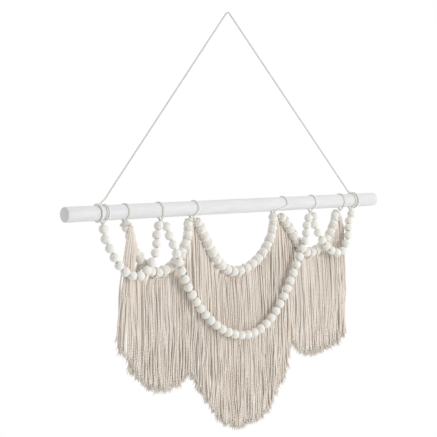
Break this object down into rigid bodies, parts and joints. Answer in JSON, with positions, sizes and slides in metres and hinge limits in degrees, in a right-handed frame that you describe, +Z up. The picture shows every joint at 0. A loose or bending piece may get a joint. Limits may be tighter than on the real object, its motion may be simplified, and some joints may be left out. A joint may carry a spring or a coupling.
{
  "type": "macrame wall hanging with dowel rod",
  "caption": "Boho wall hanging: swags of round wooden beads and a long cut cotton fringe tied to a white painted dowel rod, hung from a thin cord on one hook.",
  "frame": {"origin": "where the hanger cord bears on the wall hook", "axes": "+X along the dowel to the right, +Y towards the wall, -Y towards the room, +Z up"},
  "size_m": [0.732, 0.0413, 0.736],
  "materials": {
    "painted_wood": "white paint brushed over turned wood",
    "whitewashed_wood": "whitewashed turned beads",
    "cotton_cord": "thin twisted cotton cord",
    "cotton_fringe": "natural twisted cotton cord with frayed ends"
  },
  "bodies": {
    "root": {"dowel": "painted_wood", "hanger_cord": "cotton_cord", "hanger_tie_left": "cotton_cord", "hanger_tie_right": "cotton_cord", "loop_1": "cotton_cord", "loop_2": "cotton_cord", "loop_3": "cotton_cord", "loop_4": "cotton_cord", "loop_5": "cotton_cord", "loop_6": "cotton_cord", "loop_7": "cotton_cord", "loop_8": "cotton_cord", "beads_left_front": "whitewashed_wood", "beads_left_back": "whitewashed_wood", "beads_centre_front": "whitewashed_wood", "beads_centre_back": "whitewashed_wood", "beads_right_back": "whitewashed_wood", "beads_right_front": "whitewashed_wood", "fringe_left": "cotton_fringe", "fringe_centre": "cotton_fringe", "fringe_right": "cotton_fringe"}
  },
  "joints": []
}
